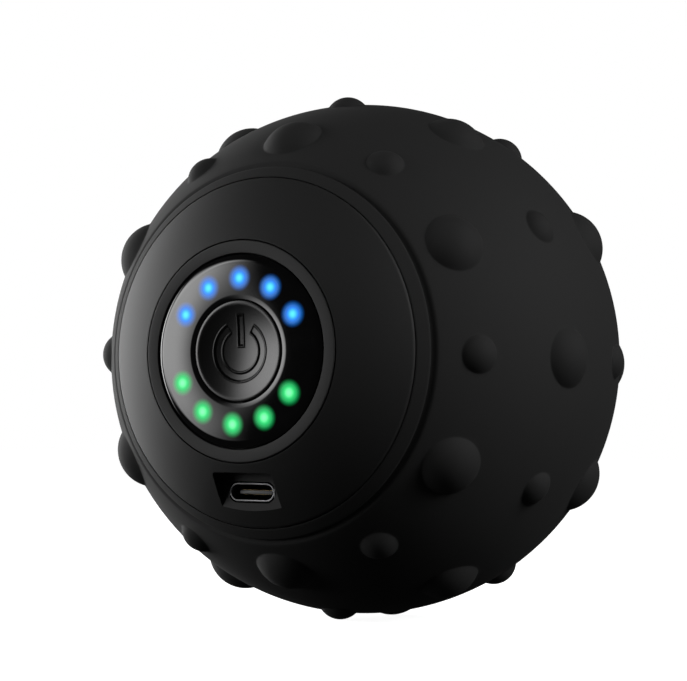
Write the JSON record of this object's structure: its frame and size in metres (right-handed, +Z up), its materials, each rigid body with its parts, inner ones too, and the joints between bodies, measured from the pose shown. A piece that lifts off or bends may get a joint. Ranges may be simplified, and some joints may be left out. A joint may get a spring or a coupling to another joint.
{
  "type": "massage ball",
  "caption": "Studded silicone vibrating massage ball with a round control panel, lit indicators, a power button and a charging port in a recess.",
  "frame": {"origin": "under the ball, midway across its overall width and depth, at the height of its lowest studs", "axes": "+Z up, with the charging port at the foot of the panel; -Y out of the control panel; +X to the right as one faces the panel"},
  "size_m": [0.0952, 0.0908, 0.0937],
  "materials": {
    "silicone": "matte, moulded",
    "cap_plastic": "fine satin texture",
    "bezel_plastic": "flat matt",
    "gloss_black": "piano gloss",
    "shell_plastic": "satin",
    "frame_plastic": "satin, uncoloured",
    "blue_light": "lit blue",
    "green_light": "lit green",
    "circuit_board": "solder mask",
    "black_plastic": "moulded",
    "steel": "plain",
    "zinc_alloy": "as cast or stamped",
    "cell_sleeve": "shrunk film",
    "red_insulation": "satin",
    "black_insulation": "satin"
  },
  "bodies": {
    "ball": {"battery_cell": "cell_sleeve", "battery_lead_black": "black_insulation", "battery_lead_red": "red_insulation", "battery_led_1": "green_light", "battery_led_2": "green_light", "battery_led_3": "green_light", "battery_led_4": "green_light", "battery_led_5": "green_light", "battery_light_pipe_1": "green_light", "battery_light_pipe_2": "green_light", "battery_light_pipe_3": "green_light", "battery_light_pipe_4": "green_light", "battery_light_pipe_5": "green_light", "battery_socket": "frame_plastic", "bezel_ring": "bezel_plastic", "board_screw_1": "steel", "board_screw_2": "steel", "board_screw_3": "steel", "charging_chip": "black_plastic", "chassis": "frame_plastic", "control_board": "circuit_board", "control_chip": "black_plastic", "front_cap": "cap_plastic", "front_housing": "shell_plastic", "housing_screw_1": "steel", "housing_screw_2": "steel", "housing_screw_3": "steel", "housing_screw_4": "steel", "light_baffle": "black_plastic", "motor_can": "steel", "motor_end_cap": "black_plastic", "motor_lead_black": "black_insulation", "motor_lead_red": "red_insulation", "motor_socket": "frame_plastic", "motor_strap": "steel", "panel_lens": "gloss_black", "rear_housing": "shell_plastic", "silicone_cover": "silicone", "speed_led_1": "blue_light", "speed_led_2": "blue_light", "speed_led_3": "blue_light", "speed_led_4": "blue_light", "speed_led_5": "blue_light", "speed_light_pipe_1": "blue_light", "speed_light_pipe_2": "blue_light", "speed_light_pipe_3": "blue_light", "speed_light_pipe_4": "blue_light", "speed_light_pipe_5": "blue_light", "strap_screw_1": "steel", "strap_screw_2": "steel", "switch_body": "black_plastic", "usb_shell": "steel", "usb_tongue": "black_plastic"},
    "power_button": {"power_button": "gloss_black"},
    "switch_plunger": {"switch_plunger": "black_plastic"},
    "motor_rotor": {"motor_shaft": "steel", "armature_core": "zinc_alloy", "eccentric_weight_left": "zinc_alloy", "eccentric_weight_right": "zinc_alloy"}
  },
  "joints": [
    {"name": "power_button_press", "type": "slide", "parent": "ball", "child": "power_button", "axis": [0, 1, 0], "range_m": [0, 0.0005], "stiffness_N_per_m": 600, "springref_m": -0.0005},
    {"name": "switch_plunger_press", "type": "slide", "parent": "ball", "child": "switch_plunger", "axis": [0, 1, 0], "range_m": [0, 0.0005]},
    {"name": "motor_spin", "type": "hinge", "parent": "ball", "child": "motor_rotor", "pos_m": [0, -0.01394, 0.04683], "axis": [1, 0, 0], "continuous": true}
  ],
  "couplings": [
    {"joint": "switch_plunger_press", "follows": "power_button_press", "ratio": 1}
  ]
}
